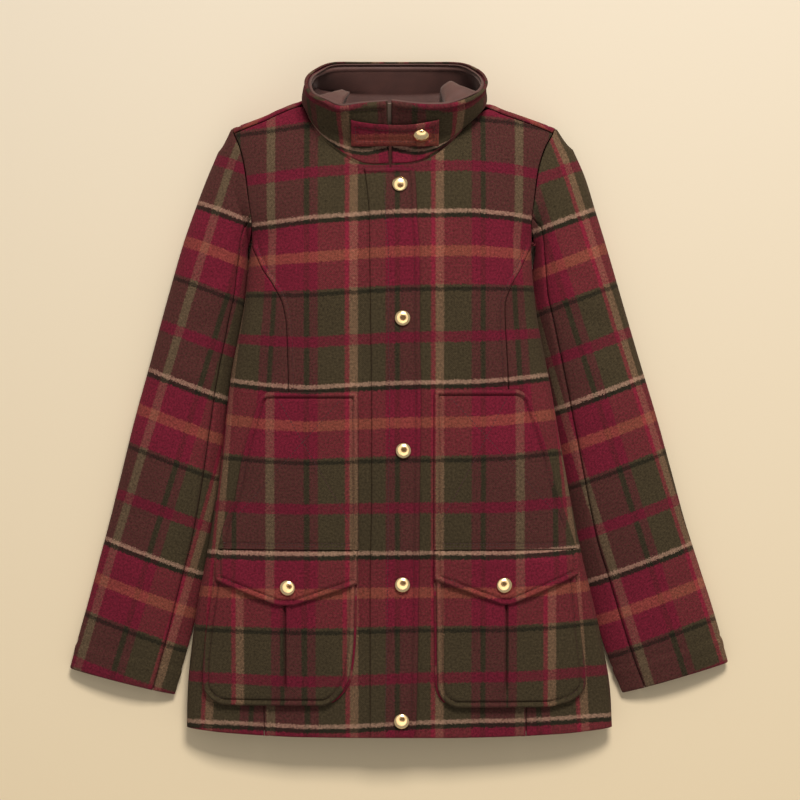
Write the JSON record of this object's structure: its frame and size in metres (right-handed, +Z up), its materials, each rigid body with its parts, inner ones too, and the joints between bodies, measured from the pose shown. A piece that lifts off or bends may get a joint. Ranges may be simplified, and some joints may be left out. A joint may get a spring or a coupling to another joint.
{
  "type": "field coat",
  "caption": "Women's plaid wool field coat with a stand collar, collar tab, storm placket, snap caps and flapped bellows pockets, laid on its back.",
  "frame": {"origin": "under the middle of the coat's box, on the surface that it lies on", "axes": "+X towards the wearer's left, +Y from the hem to the collar, +Z up from the surface, out of the coat's front"},
  "size_m": [0.766, 0.78, 0.121],
  "materials": {
    "plaid_wool": "brushed wool twill, woven plaid of crimson, olive and tan",
    "lining": "fine brown twill facing",
    "zip_tape": "woven polyester tape",
    "snap_gold": "polished pale gold plating"
  },
  "bodies": {
    "root": {"back": "plaid_wool", "front_right": "plaid_wool", "front_left": "plaid_wool", "side_front_right": "plaid_wool", "side_front_left": "plaid_wool", "sleeve_upper_right": "plaid_wool", "sleeve_upper_left": "plaid_wool", "sleeve_under_right": "plaid_wool", "sleeve_under_left": "plaid_wool", "pocket_upper_right": "plaid_wool", "pocket_upper_left": "plaid_wool", "pocket_lower_right": "plaid_wool", "pocket_lower_left": "plaid_wool", "pocket_gusset_right": "plaid_wool", "pocket_gusset_left": "plaid_wool", "pocket_flap_right": "plaid_wool", "pocket_flap_left": "plaid_wool", "collar": "plaid_wool", "collar_lining": "lining", "storm_placket": "plaid_wool", "collar_tab": "plaid_wool", "zip_tape": "zip_tape", "snap_front_1": "snap_gold", "snap_front_2": "snap_gold", "snap_front_3": "snap_gold", "snap_front_4": "snap_gold", "snap_front_5": "snap_gold", "snap_pocket_right": "snap_gold", "snap_pocket_left": "snap_gold", "snap_tab": "snap_gold"}
  },
  "joints": []
}
